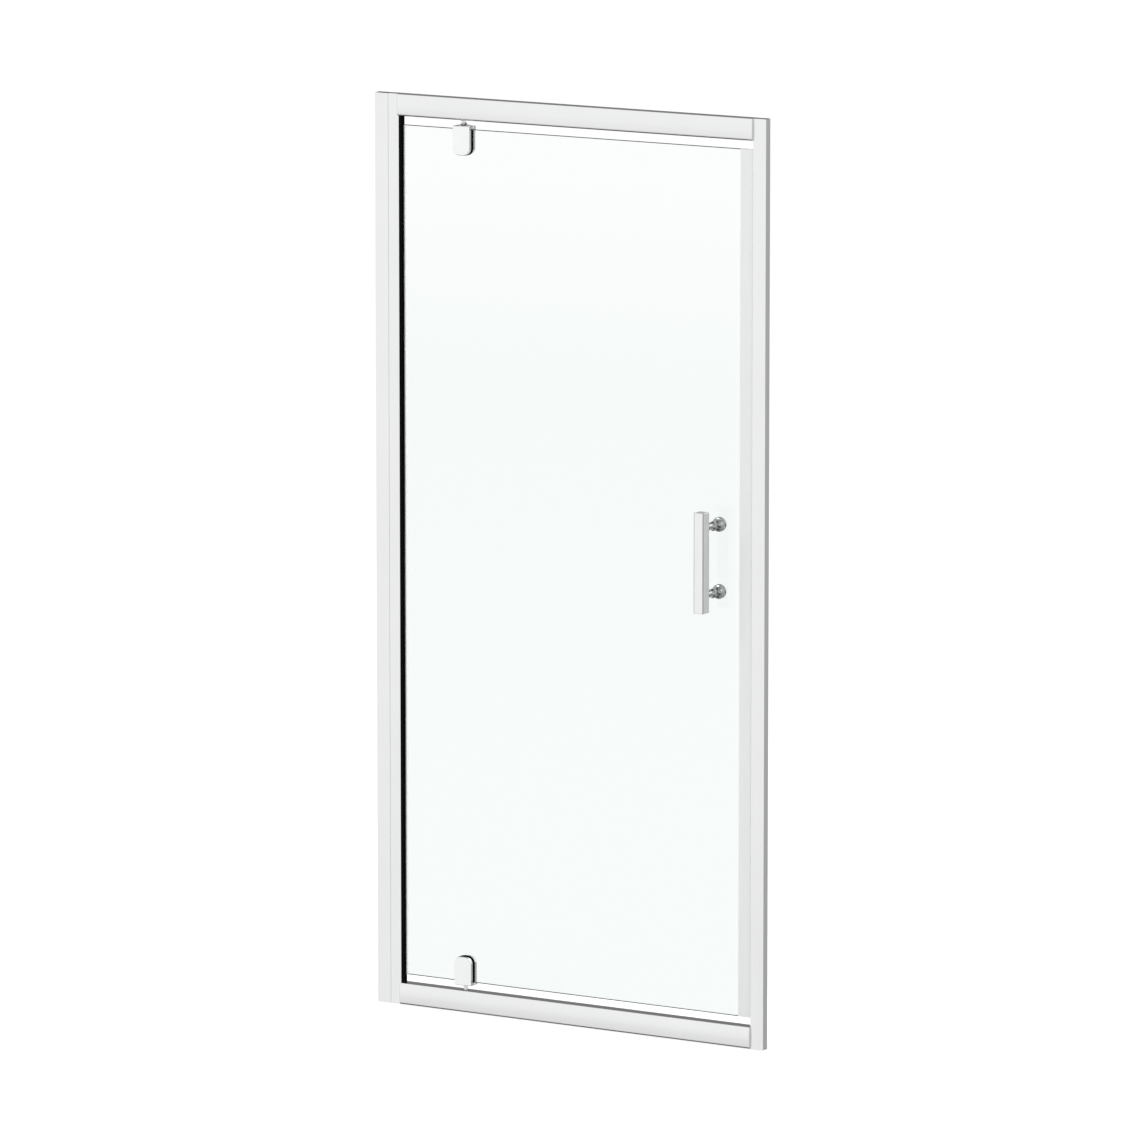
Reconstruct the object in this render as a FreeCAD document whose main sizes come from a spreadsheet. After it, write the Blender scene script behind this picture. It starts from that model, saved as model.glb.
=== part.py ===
"""Framed pivot shower door: a fixed aluminium frame and a glass leaf that swings on two pins.

Millimetres. +X runs from the hinge side to the strike side, -Y is the outside of the shower and +Z is up.
The origin is the middle of the bottom rail's underside, on the plane of the glass and of the pivot axis.
"""
import FreeCAD, Part
import math
import operator
import os
from types import SimpleNamespace

import Sketcher

DIMENSIONS = {
    # the frame as a whole
    "overall_width": 900,
    "overall_height": 1850,
    # rails
    "rail_height": 44,
    "rail_depth": 25,
    "rail_crown": 1.3,
    "rail_corner": 0.8,
    "rail_lower_edge": 5,
    "rail_wall": 1.6,
    "rail_end_cap": 0.6,
    "port_boss_radius": 4,
    "port_offset": 4.6,
    # wall channels
    "channel_depth": 18,
    "channel_wall": 1.2,
    "channel_setback": 4.8,
    "channel_corner": 0.8,
    "hinge_channel_width": 30.5,
    "strike_channel_width": 28.5,
    "shadow_line_inset": 7.5,
    "shadow_line_size": 0.4,
    "wall_hole_radius": 2.75,
    "wall_hole_end": 100,
    # posts
    "slide_clearance": 0.2,
    "post_wall": 1.5,
    "post_face_width": 24.5,
    "post_corner": 0.6,
    "tongue_length": 22,
    "strike_post_width": 20,
    "post_cap_thickness": 3,
    # seals on the frame
    "gasket_thickness": 2.9,
    "gasket_base": 1.2,
    "gasket_edge": 0.8,
    "magnet_width": 8,
    "magnet_thickness": 3,
    # leaf
    "glass_thickness": 5,
    "glass_arris": 0.6,
    "leaf_gap": 17.5,
    "leaf_hinge_gap": 11,
    "leaf_closing_gap": 16.5,
    "leaf_clearance": 0.5,
    "seal_wall": 0.8,
    "hinge_seal_leg": 5,
    "closing_seal_wall": 1,
    "closing_seal_leg": 14,
    # pivot
    "pivot_inset": 150,
    "pin_radius": 4.5,
    "pin_running_clearance": 0.05,
    "pin_end_gap": 0.3,
    "pin_spigot_radius": 2,
    "pin_spigot_length": 14,
    "boss_radius": 12.5,
    "boss_rim": 1,
    "boss_height": 9.5,
    "collar_radius": 6.5,
    "collar_height": 1.5,
    "bush_radius": 7,
    "bush_flange_radius": 7.8,
    "bush_flange": 0.6,
    "bush_floor": 1.1,
    "thrust_disc": 1,
    "pivot_block_length": 60,
    # clamps
    "clamp_width": 39,
    "clamp_height": 58,
    "clamp_plate": 8.6,
    "clamp_corner": 14.5,
    "clamp_chamfer": 0.8,
    "clamp_reach": 6,
    "clamp_gasket": 1.9,
    "clamp_gasket_lip": 0.9,
    "clamp_screw_radius": 2.5,
    "clamp_screw_first": 29,
    "clamp_screw_pitch": 16,
    "clamp_screw_cover": 3.6,
    "hub_width": 14,
    "hub_depth": 11,
    "notch_clearance": 2,
    # handle
    "handle_inset": 91.2,
    "handle_height": 972,
    "handle_centres": 134,
    "handle_bar_length": 200,
    "handle_bar_width": 22,
    "handle_bar_depth": 24,
    "handle_bar_corner": 1.5,
    "handle_bar_chamfer": 0.5,
    "handle_reach": 57,
    "handle_washer": 0.5,
    "stem_radius": 6.4,
    "stem_base_radius": 9.5,
    "stem_rim": 2,
    "stem_flare": 10,
    "stem_spigot_radius": 4,
    "stem_spigot_length": 6,
    "stud_radius": 3,
    "stud_depth": 8,
    "knob_radius": 14.5,
    "knob_base_radius": 8,
    "knob_neck": 5,
    "knob_length": 26,
    "knob_rim": 7,
    "knob_edge": 2,
    # fasteners of the frame
    "rail_screw_radius": 2.1,
    "rail_screw_length": 18,
    "rail_screw_head": 3.25,
    "rail_screw_head_height": 2.5,
    "channel_screw_radius": 1.75,
    "channel_screw_head": 3.75,
    "channel_screw_head_height": 2,
    "channel_screw_inset": 10,
    "channel_screw_end": 150,
    "screw_cap_radius": 5,
    "screw_cap_height": 4,
    "block_screw_radius": 1.8,
    "block_screw_head": 3.6,
    "block_screw_head_height": 1.6,
    "block_screw_length": 10,
    "block_screw_spacing": 40,
    "hole_clearance": 0.2,
}

WALL_HOLES = 4
CHANNEL_SCREWS = 3

doc = FreeCAD.newDocument("pivot_shower_door")
nodes = []


# ---------------------------------------------------------------- sizes that keep their formula

class Size:
    """A length together with the sheet formula that gives it."""

    def __init__(self, formula, value):
        self.formula = formula
        self.value = value

    def __add__(self, other):
        return combine(self, "+", other)

    def __radd__(self, other):
        return combine(other, "+", self)

    def __sub__(self, other):
        return combine(self, "-", other)

    def __rsub__(self, other):
        return combine(other, "-", self)

    def __mul__(self, other):
        return combine(self, "*", other)

    def __rmul__(self, other):
        return combine(other, "*", self)

    def __truediv__(self, other):
        return combine(self, "/", other)

    def __neg__(self):
        return combine(0, "-", self)


OPERATIONS = {"+": operator.add, "-": operator.sub, "*": operator.mul, "/": operator.truediv}


def as_size(number):
    return number if isinstance(number, Size) else Size(f"{number}", number)


def combine(left, sign, right):
    left, right = as_size(left), as_size(right)
    return Size(f"({left.formula} {sign} {right.formula})", OPERATIONS[sign](left.value, right.value))


def fill_sheet():
    """Write the driving dimensions into the sheet and return them by name."""
    sheet = doc.addObject("Spreadsheet::Sheet", "Sizes")
    for row, (name, value) in enumerate(DIMENSIONS.items(), start=1):
        sheet.set(f"A{row}", name)
        sheet.set(f"B{row}", str(value))
        sheet.setAlias(f"B{row}", name)
    doc.recompute()
    return SimpleNamespace(**{name: Size(f"Sizes.{name}", value) for name, value in DIMENSIONS.items()})


S = fill_sheet()


def bind(target, name, size):
    target.setExpression(name, as_size(size).formula)


def place(target, x=0, y=0, z=0):
    for axis, size in (("x", x), ("y", y), ("z", z)):
        bind(target, f"Placement.Base.{axis}", size)
    return target


# ---------------------------------------------------------------- sketches and features

class Bulge:
    """Makes the next side of an outline an arc; outward leaves the outline, inward eats into it."""

    def __init__(self, radius, inward=False):
        self.radius = as_size(radius)
        self.inward = inward


def direction(start, end):
    """Sign of the step from one corner to the next along u and v, for sides along an axis."""
    du = as_size(end[0]).value - as_size(start[0]).value
    dv = as_size(end[1]).value - as_size(start[1]).value
    return (math.copysign(1, du), 0) if abs(du) > abs(dv) else (0, math.copysign(1, dv))


def round_corner(corner, before, after):
    """The two tangent points and the centre of a rounded corner between sides along the axes."""
    u, v, radius = (as_size(value) for value in corner)
    back, ahead = direction(corner, before), direction(corner, after)
    start = (u + radius * back[0], v + radius * back[1])
    end = (u + radius * ahead[0], v + radius * ahead[1])
    centre = (start[0].value + end[0].value - u.value, start[1].value + end[1].value - v.value)
    return start, end, radius, centre


def bulge_centre(start, end, bulge):
    """Centre of an arc side of an outline that runs anticlockwise."""
    du, dv = end[0].value - start[0].value, end[1].value - start[1].value
    chord = math.hypot(du, dv)
    rise = math.sqrt(bulge.radius.value ** 2 - chord ** 2 / 4) * (-1 if bulge.inward else 1)
    middle = (start[0].value + end[0].value) / 2, (start[1].value + end[1].value) / 2
    return middle[0] - dv / chord * rise, middle[1] + du / chord * rise


def outline_points(outline):
    """Turn corners, rounded corners and bulges into points, each with the arc that starts there or None."""
    corners = [item for item in outline if not isinstance(item, Bulge)]
    bulges = {}
    seen = 0
    for item in outline:
        if isinstance(item, Bulge):
            bulges[seen - 1] = item
        else:
            seen += 1
    points = []
    for i, corner in enumerate(corners):
        if len(corner) == 3:
            start, end, radius, centre = round_corner(corner, corners[i - 1], corners[(i + 1) % len(corners)])
            points.append((start, (radius, centre)))
            points.append((end, None))
        else:
            points.append(((as_size(corner[0]), as_size(corner[1])), bulges.get(i)))
    return points


def arc_geometry(start, end, radius, centre):
    """An arc of under half a turn, and whether its own first end is the outline's start."""
    middle = FreeCAD.Vector(centre[0], centre[1], 0)
    first = math.atan2(start[1].value - centre[1], start[0].value - centre[0])
    last = math.atan2(end[1].value - centre[1], end[0].value - centre[0])
    circle = Part.Circle(middle, FreeCAD.Vector(0, 0, 1), radius.value)
    forward = (last - first) % (2 * math.pi) < math.pi
    if not forward:
        first, last = last, first
    return Part.ArcOfCircle(circle, first, last), forward


def draw_outline(drawing, outline):
    """Add one closed outline to a sketch, with every point held by its own two sizes."""
    points = outline_points(outline)
    ends = []
    for i, (start, arc) in enumerate(points):
        end = points[(i + 1) % len(points)][0]
        if isinstance(arc, Bulge):
            arc = (arc.radius, bulge_centre(start, end, arc))
        if arc is None:
            corners = [FreeCAD.Vector(u.value, v.value, 0) for u, v in (start, end)]
            ends.append((drawing.addGeometry(Part.LineSegment(*corners), False), 1, 2))
            continue
        geometry, forward = arc_geometry(start, end, *arc)
        side = drawing.addGeometry(geometry, False)
        ends.append((side, 1, 2) if forward else (side, 2, 1))
        held = drawing.addConstraint(Sketcher.Constraint("Radius", side, arc[0].value))
        bind(drawing, f"Constraints[{held}]", arc[0])
    for i, (side, first, last) in enumerate(ends):
        following, its_first, _ = ends[(i + 1) % len(ends)]
        drawing.addConstraint(Sketcher.Constraint("Coincident", side, last, following, its_first))
        for kind, size in zip(("DistanceX", "DistanceY"), points[i][0]):
            held = drawing.addConstraint(Sketcher.Constraint(kind, -1, 1, side, first, size.value))
            bind(drawing, f"Constraints[{held}]", size)


def new_sketch(body, plane, outlines):
    drawing = body.newObject("Sketcher::SketchObject", f"{body.Name}_sketch")
    support = next(item for item in body.Origin.OriginFeatures if item.Role == plane)
    drawing.AttachmentSupport = [(support, "")]
    drawing.MapMode = "FlatFace"
    for outline in outlines:
        draw_outline(drawing, outline)
    return drawing


def extrusion(label, plane, outlines, length, x=0, y=0, z=0):
    """A body extruded from outlines on one of its planes, towards +X, +Y or +Z."""
    body = doc.addObject("PartDesign::Body", label)
    pad = body.newObject("PartDesign::Pad", f"{label}_pad")
    pad.Profile = new_sketch(body, plane, outlines)
    pad.Reversed = plane == "XZ_Plane"
    bind(pad, "Length", length)
    return place(body, x, y, z)


def turning(label, plane, outline, x=0, y=0, z=0):
    """A body turned about the upright axis of a sketch: Z on the XZ plane, Y on the XY plane."""
    body = doc.addObject("PartDesign::Body", label)
    turn = body.newObject("PartDesign::Revolution", f"{label}_turn")
    turn.Profile = new_sketch(body, plane, [outline])
    turn.ReferenceAxis = (turn.Profile[0], ["V_Axis"])
    turn.Angle = 360
    return place(body, x, y, z)


def dress(body, kind, size, wanted):
    """Fillet or chamfer the edges of a body whose every point passes the test."""
    doc.recompute()
    base = body.Tip
    names = [
        f"Edge{i}"
        for i, edge in enumerate(base.Shape.Edges, start=1)
        if all(wanted(point) for point in edge.discretize(3))
    ]
    feature = body.newObject(f"PartDesign::{kind}", f"{body.Name}_{kind.lower()}")
    feature.Base = (base, names)
    bind(feature, "Radius" if kind == "Fillet" else "Size", size)
    body.Tip = feature
    return body


def near(value, size):
    return abs(value - as_size(size).value) < 0.01


TURN_TO = {
    "X": FreeCAD.Rotation(FreeCAD.Vector(0, 1, 0), 90),
    "Y": FreeCAD.Rotation(FreeCAD.Vector(1, 0, 0), -90),
    "Z": FreeCAD.Rotation(),
}


def rod(name, axis, radius, length, x=0, y=0, z=0):
    """A cylinder that grows from its base along +X, +Y or +Z."""
    item = doc.addObject("Part::Cylinder", name)
    bind(item, "Radius", radius)
    bind(item, "Height", length)
    item.Placement = FreeCAD.Placement(FreeCAD.Vector(), TURN_TO[axis])
    return place(item, x, y, z)


def taper(name, axis, first_radius, last_radius, length, x=0, y=0, z=0):
    """A cone that grows from its base along +X, +Y or +Z."""
    item = doc.addObject("Part::Cone", name)
    bind(item, "Radius1", first_radius)
    bind(item, "Radius2", last_radius)
    bind(item, "Height", length)
    item.Placement = FreeCAD.Placement(FreeCAD.Vector(), TURN_TO[axis])
    return place(item, x, y, z)


def block(name, low, high):
    """A box between two corners."""
    item = doc.addObject("Part::Box", name)
    for side, start, end in zip(("Length", "Width", "Height"), low, high):
        bind(item, side, as_size(end) - start)
    return place(item, *low)


def join(name, items):
    if len(items) == 1:
        return items[0]
    whole = doc.addObject("Part::MultiFuse", name)
    whole.Shapes = items
    return whole


def cut(name, base, tools):
    whole = doc.addObject("Part::Cut", name)
    whole.Base = base
    whole.Tool = join(f"{name}_tools", tools)
    return whole


def group(name, items):
    whole = doc.addObject("Part::Compound", name)
    whole.Links = items
    return whole


def node(label, item):
    """Name a finished sub-part."""
    item.Label = label
    nodes.append(item)
    return item


def evenly(count, first, last):
    """Places spread evenly from first to last."""
    return [first + (last - first) * (i / (count - 1)) for i in range(count)]


# ---------------------------------------------------------------- planes shared by the sub-parts

hinge_wall_x = -S.overall_width / 2
hinge_mouth_x = hinge_wall_x + S.hinge_channel_width
hinge_face_x = hinge_mouth_x + S.post_face_width
strike_wall_x = S.overall_width / 2
strike_mouth_x = strike_wall_x - S.strike_channel_width

rail_crown_y = -S.rail_depth / 2
rail_edge_y = rail_crown_y + S.rail_crown
rail_back_y = S.rail_depth / 2
cavity_front_y = rail_edge_y + S.rail_wall
cavity_back_y = rail_back_y - S.rail_wall
cavity_corner = S.rail_lower_edge - S.rail_wall
channel_front_y = rail_crown_y + S.channel_setback
channel_back_y = channel_front_y + S.channel_depth
channel_middle_y = (channel_front_y + channel_back_y) / 2
post_front_y = channel_front_y + S.channel_wall + S.slide_clearance
tongue_back_y = channel_back_y - S.channel_wall - S.slide_clearance

top_rail_z = S.overall_height - S.rail_height
glass_bottom_z = S.rail_height + S.leaf_gap
glass_top_z = top_rail_z - S.leaf_gap
glass_height = glass_top_z - glass_bottom_z
glass_left_x = hinge_face_x + S.leaf_hinge_gap
glass_right_x = strike_mouth_x - S.leaf_closing_gap
glass_front_y = -S.glass_thickness / 2
glass_back_y = S.glass_thickness / 2

pivot_x = hinge_face_x + S.pivot_inset
handle_x = strike_mouth_x - S.handle_inset
handle_stem_z = [S.handle_height - S.handle_centres / 2, S.handle_height + S.handle_centres / 2]
channel_screw_z = evenly(CHANNEL_SCREWS, S.channel_screw_end, S.overall_height - S.channel_screw_end)
rail_port_z = [S.rail_height / 2 - S.port_offset, S.rail_height / 2 + S.port_offset]
all_port_z = rail_port_z + [top_rail_z + z for z in rail_port_z]


# ---------------------------------------------------------------- wall channels and posts

def wall_channel(label, wall_x, mouth_x, inwards, shadow_line, wall_holes):
    """U extrusion, open towards the door, with any wall holes and the holes of its clamping screws."""
    inner_x = wall_x + inwards * S.channel_wall
    front = [(wall_x, channel_front_y, S.channel_corner)]
    if shadow_line:
        line_x = wall_x + inwards * S.shadow_line_inset
        half = inwards * S.shadow_line_size
        front += [
            (line_x - half, channel_front_y),
            (line_x, channel_front_y + S.shadow_line_size),
            (line_x + half, channel_front_y),
        ]
    outline = front + [
        (mouth_x, channel_front_y),
        (mouth_x, channel_front_y + S.channel_wall),
        (inner_x, channel_front_y + S.channel_wall),
        (inner_x, channel_back_y - S.channel_wall),
        (mouth_x, channel_back_y - S.channel_wall),
        (mouth_x, channel_back_y),
        (wall_x, channel_back_y, S.channel_corner),
    ]
    profile = extrusion(f"{label}_profile", "XY_Plane", [outline], S.overall_height)
    web_x = wall_x if inwards > 0 else inner_x
    holes = [
        rod(f"{label}_wall_hole_{i}", "X", S.wall_hole_radius, S.channel_wall, web_x, channel_middle_y, z)
        for i, z in enumerate(evenly(wall_holes, S.wall_hole_end, S.overall_height - S.wall_hole_end))
    ]
    holes += [
        rod(f"{label}_screw_hole_{i}", "Y", S.channel_screw_radius + S.hole_clearance, S.channel_wall,
            mouth_x - inwards * S.channel_screw_inset, channel_back_y - S.channel_wall, z)
        for i, z in enumerate(channel_screw_z)
    ]
    return node(label, cut(label, profile, holes))


def tapped_holes(label, x):
    """Holes in a post's back wall for the screws that clamp it in its channel."""
    return [
        rod(f"{label}_tapped_{i}", "Y", S.channel_screw_radius, S.post_wall, x, tongue_back_y - S.post_wall, z)
        for i, z in enumerate(channel_screw_z)
    ]


def hinge_post():
    """Box extrusion whose narrower tongue telescopes into the wall channel."""
    tongue_x = hinge_mouth_x - S.tongue_length
    shoulder_x = hinge_mouth_x + S.slide_clearance
    wall = S.post_wall
    outline = [
        (tongue_x, post_front_y),
        (hinge_face_x, post_front_y, S.post_corner),
        (hinge_face_x, rail_back_y, S.post_corner),
        (shoulder_x, rail_back_y, S.post_corner),
        (shoulder_x, tongue_back_y),
        (tongue_x, tongue_back_y),
    ]
    tongue_chamber = [
        (tongue_x + wall, post_front_y + wall),
        (shoulder_x, post_front_y + wall),
        (shoulder_x, tongue_back_y - wall),
        (tongue_x + wall, tongue_back_y - wall),
    ]
    head_chamber = rectangle(shoulder_x + wall, post_front_y + wall, hinge_face_x - wall, rail_back_y - wall)
    profile = extrusion("hinge_post_profile", "XY_Plane", [outline, tongue_chamber, head_chamber],
                        S.overall_height)
    holes = tapped_holes("hinge_post", hinge_mouth_x - S.channel_screw_inset)
    holes += [
        rod(f"hinge_post_rail_hole_{i}", "X", S.rail_screw_radius, wall, hinge_face_x - wall, channel_middle_y, z)
        for i, z in enumerate(all_port_z)
    ]
    node("hinge_post", cut("hinge_post", profile, holes))
    plug_top(head_chamber, "hinge_post_top_cap")


def rectangle(left, low, right, high):
    return [(left, low), (right, low), (right, high), (left, high)]


def plug_top(chamber, label):
    """Moulded plug that closes a post's chamber, flush with the top."""
    node(label, extrusion(label, "XY_Plane", [chamber], S.post_cap_thickness,
                          z=S.overall_height - S.post_cap_thickness))


def strike_post():
    """Box extrusion nested in the strike side's channel, with the slot of the magnet strip."""
    far_x = strike_mouth_x + S.strike_post_width
    slot_x = strike_mouth_x + S.magnet_thickness
    half = S.magnet_width / 2
    wall = S.post_wall
    outline = [
        (strike_mouth_x, post_front_y),
        (far_x, post_front_y),
        (far_x, tongue_back_y),
        (strike_mouth_x, tongue_back_y),
        (strike_mouth_x, half),
        (slot_x, half),
        (slot_x, -half),
        (strike_mouth_x, -half),
    ]
    chamber = rectangle(slot_x + wall, post_front_y + wall, far_x - wall, tongue_back_y - wall)
    profile = extrusion("strike_post_profile", "XY_Plane", [outline, chamber], S.overall_height)
    holes = tapped_holes("strike_post", strike_mouth_x + S.channel_screw_inset)
    holes += [
        rod(f"strike_post_rail_hole_{i}", "X", S.rail_screw_radius, S.magnet_thickness + wall,
            strike_mouth_x, channel_middle_y, z)
        for i, z in enumerate(all_port_z)
    ]
    node("strike_post", cut("strike_post", profile, holes))
    plug_top(chamber, "strike_post_top_cap")
    strip = rectangle(strike_mouth_x, -half, slot_x, half)
    node("strike_magnet_strip", extrusion("strike_magnet_strip", "XY_Plane", [strip],
                                          top_rail_z - S.rail_height, z=S.rail_height))


def hinge_post_gasket():
    """Black strip on the post's inner face, with a raised lip along the shower side."""
    base_x = hinge_face_x + S.gasket_base
    lip_x = hinge_face_x + S.gasket_thickness
    low_y = post_front_y + S.gasket_edge
    high_y = rail_back_y - S.gasket_edge
    lip_y = high_y - 2 * S.gasket_thickness
    outline = [
        (hinge_face_x, low_y),
        (base_x, low_y),
        (base_x, lip_y),
        (lip_x, lip_y + S.gasket_thickness),
        (lip_x, high_y),
        (hinge_face_x, high_y),
    ]
    node("hinge_post_gasket", extrusion("hinge_post_gasket", "XY_Plane", [outline],
                                        top_rail_z - S.rail_height, z=S.rail_height))


def channel_fasteners(side, x):
    """Screws through a channel's back flange into the post, and the domed caps over their heads."""
    screws = []
    caps = []
    for i, z in enumerate(channel_screw_z):
        shank_y = tongue_back_y - S.post_wall
        shank = rod(f"channel_shank_{side}_{i}", "Y", S.channel_screw_radius, channel_back_y - shank_y,
                    x, shank_y, z)
        head = rod(f"channel_head_{side}_{i}", "Y", S.channel_screw_head, S.channel_screw_head_height,
                   x, channel_back_y, z)
        screws.append(join(f"channel_screw_{side}_{i}", [shank, head]))
        caps.append(turning(f"screw_cap_{side}_{i}", "XY_Plane", cap_outline(), x, channel_back_y, z))
    node(f"channel_screws_{side}", group(f"channel_screws_{side}", screws))
    node(f"screw_caps_{side}", group(f"screw_caps_{side}", caps))


def cap_outline():
    """Half section of a domed cap that sits round a screw's head."""
    rise = S.screw_cap_height / 2
    dome = (S.screw_cap_radius * S.screw_cap_radius + rise * rise) / (2 * rise)
    return [
        (S.channel_screw_head, 0),
        (S.screw_cap_radius, 0),
        (S.screw_cap_radius, S.screw_cap_height - rise),
        Bulge(dome),
        (0, S.screw_cap_height),
        (0, S.channel_screw_head_height),
        (S.channel_screw_head, S.channel_screw_head_height),
    ]


# ---------------------------------------------------------------- rails

def rail_section(label, chambers, length, x, z):
    """Rail outline extruded along X: crowned front, crisp upper edge and well rounded lower edge."""
    rise = S.rail_crown
    crown = (S.rail_height * S.rail_height / 4 + rise * rise) / (2 * rise)
    outline = [
        (rail_edge_y, 0),
        (rail_back_y, 0),
        (rail_back_y, S.rail_height),
        (rail_edge_y, S.rail_height),
        Bulge(crown),
    ]
    body = extrusion(label, "YZ_Plane", [outline] + chambers, length, x=x, z=z)
    dress(body, "Fillet", S.rail_corner,
          lambda point: near(point.y, rail_edge_y) and near(point.z, S.rail_height))
    return dress(body, "Fillet", S.rail_lower_edge,
                 lambda point: near(point.y, rail_edge_y) and near(point.z, 0))


def rail(label, bottom_z, leaf_side):
    """Hollow rail with a middle web and two screw ports; leaf_side is 1 where the pin enters from above."""
    middle = S.rail_height / 2
    half_web = S.rail_wall / 2
    lower_chamber = [
        (cavity_front_y, S.rail_wall, cavity_corner),
        (cavity_back_y, S.rail_wall),
        (cavity_back_y, middle - half_web),
        (cavity_front_y, middle - half_web),
    ]
    chambers = [
        lower_chamber,
        rectangle(cavity_front_y, middle + half_web, cavity_back_y, S.rail_height - S.rail_wall),
    ]
    start_x = hinge_face_x + S.rail_end_cap
    length = strike_mouth_x - hinge_face_x - 2 * S.rail_end_cap
    profile = rail_section(f"{label}_profile", chambers, length, start_x, bottom_z)
    ports = [bottom_z + z for z in rail_port_z]
    bosses = [
        rod(f"{label}_boss_{i}", "X", S.port_boss_radius, length, start_x, channel_middle_y, z)
        for i, z in enumerate(ports)
    ]
    tools = [
        rod(f"{label}_port_{i}", "X", S.rail_screw_radius, length, start_x, channel_middle_y, z)
        for i, z in enumerate(ports)
    ]
    hole_depth = 2 * S.rail_wall
    hole_z = bottom_z + S.rail_height - hole_depth if leaf_side > 0 else bottom_z
    tools.append(rod(f"{label}_bush_hole", "Z", S.bush_radius, hole_depth, pivot_x, 0, hole_z))
    for i, (x, z) in enumerate(block_screw_places(bottom_z, leaf_side)):
        tools.append(rod(f"{label}_block_hole_{i}", "Y", S.block_screw_radius, S.rail_wall, x, cavity_back_y, z))
        tools.append(taper(f"{label}_block_sink_{i}", "Y", S.block_screw_radius, S.block_screw_head,
                           S.block_screw_head_height, x, rail_back_y - S.block_screw_head_height, z))
    node(label, cut(label, join(f"{label}_body", [profile] + bosses), tools))


def rail_end_caps(label, bottom_z):
    """Thin plates that close both ends of a rail, holed for its screws."""
    caps = []
    for i, x in enumerate((hinge_face_x, strike_mouth_x - S.rail_end_cap)):
        plate = rail_section(f"{label}_plate_{i}", [], S.rail_end_cap, x, bottom_z)
        holes = [
            rod(f"{label}_hole_{i}_{j}", "X", S.rail_screw_radius, S.rail_end_cap, x, channel_middle_y,
                bottom_z + z)
            for j, z in enumerate(rail_port_z)
        ]
        caps.append(cut(f"{label}_{i}", plate, holes))
    node(label, group(label, caps))


def rail_screws(label, head_x, face_x, into_rail):
    """Four screws that hold the rails' ends: a head inside the post and a shank in each port."""
    screws = []
    for i, z in enumerate(all_port_z):
        tip_x = face_x + into_rail * S.rail_screw_length
        low_x, high_x = (head_x, tip_x) if into_rail > 0 else (tip_x, head_x)
        shank = rod(f"{label}_shank_{i}", "X", S.rail_screw_radius, high_x - low_x, low_x, channel_middle_y, z)
        cap_x = head_x - S.rail_screw_head_height if into_rail > 0 else head_x
        head = rod(f"{label}_head_{i}", "X", S.rail_screw_head, S.rail_screw_head_height, cap_x,
                   channel_middle_y, z)
        screws.append(join(f"{label}_{i}", [shank, head]))
    node(label, group(label, screws))


# ---------------------------------------------------------------- pivots

def pivot_block_levels(bottom_z, leaf_side):
    """Lowest and highest level of the block between a screw port and the rail's web."""
    depth = S.rail_height / 2 - S.port_offset - S.port_boss_radius - S.rail_wall
    if leaf_side > 0:
        top = bottom_z + S.rail_height - S.rail_wall
        return top - depth, top
    return bottom_z + S.rail_wall, bottom_z + S.rail_wall + depth


def block_screw_places(bottom_z, leaf_side):
    low, high = pivot_block_levels(bottom_z, leaf_side)
    half = S.block_screw_spacing / 2
    return [(pivot_x - half, (low + high) / 2), (pivot_x + half, (low + high) / 2)]


def pivot_block(label, bottom_z, leaf_side):
    """Block inside a rail that carries the bush; returns the two screws that hold it."""
    low, high = pivot_block_levels(bottom_z, leaf_side)
    depth = high - low
    section = [
        (cavity_front_y, 0) if leaf_side > 0 else (cavity_front_y, 0, cavity_corner),
        (cavity_back_y, 0),
        (cavity_back_y, depth),
        (cavity_front_y, depth),
    ]
    blank = extrusion(f"{label}_blank", "YZ_Plane", [section], S.pivot_block_length,
                      x=pivot_x - S.pivot_block_length / 2, z=low)
    tools = [rod(f"{label}_bore", "Z", S.bush_radius, depth, pivot_x, 0, low)]
    screws = []
    for i, (x, z) in enumerate(block_screw_places(bottom_z, leaf_side)):
        tip_y = rail_back_y - S.block_screw_length
        sink_y = rail_back_y - S.block_screw_head_height
        tools.append(rod(f"{label}_tapped_{i}", "Y", S.block_screw_radius, cavity_back_y - tip_y, x, tip_y, z))
        shank = rod(f"{label}_shank_{i}", "Y", S.block_screw_radius, sink_y - tip_y, x, tip_y, z)
        head = taper(f"{label}_head_{i}", "Y", S.block_screw_radius, S.block_screw_head,
                     S.block_screw_head_height, x, sink_y, z)
        screws.append(join(f"{label}_screw_{i}", [shank, head]))
    node(label, cut(label, blank, tools))
    return screws


def bush_depth():
    """How far a bush reaches into its rail: the web and the block behind it."""
    low, high = pivot_block_levels(as_size(0), 1)
    return high - low + S.rail_wall


def pin_engagement():
    """How far a pin enters its bush, which leaves room for the closed bush's floor and disc."""
    return bush_depth() - S.bush_floor - S.thrust_disc - S.pin_end_gap


def pivot_bush(label, face_z, into_rail, closed):
    """Flanged bush; the lower one is closed and holds the disc that carries the leaf's weight."""
    depth = bush_depth()
    bore = S.pin_radius + S.pin_running_clearance
    outline = [
        (bore, -into_rail * S.bush_flange),
        (S.bush_flange_radius, -into_rail * S.bush_flange),
        (S.bush_flange_radius, 0),
        (S.bush_radius, 0),
        (S.bush_radius, into_rail * depth),
    ]
    if closed:
        floor_z = depth - S.bush_floor
        outline += [(0, into_rail * depth), (0, into_rail * floor_z), (bore, into_rail * floor_z)]
        disc_low = face_z + into_rail * floor_z
        node("bottom_thrust_disc", rod("bottom_thrust_disc", "Z", S.pin_radius, S.thrust_disc,
                                       pivot_x, 0, disc_low))
    else:
        outline += [(bore, into_rail * depth)]
    node(label, turning(label, "XZ_Plane", outline, x=pivot_x, z=face_z))


def pin_reach():
    """Distance from a clamp's end face to the tip of its pin."""
    return S.leaf_gap - S.clamp_reach + pin_engagement()


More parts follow.
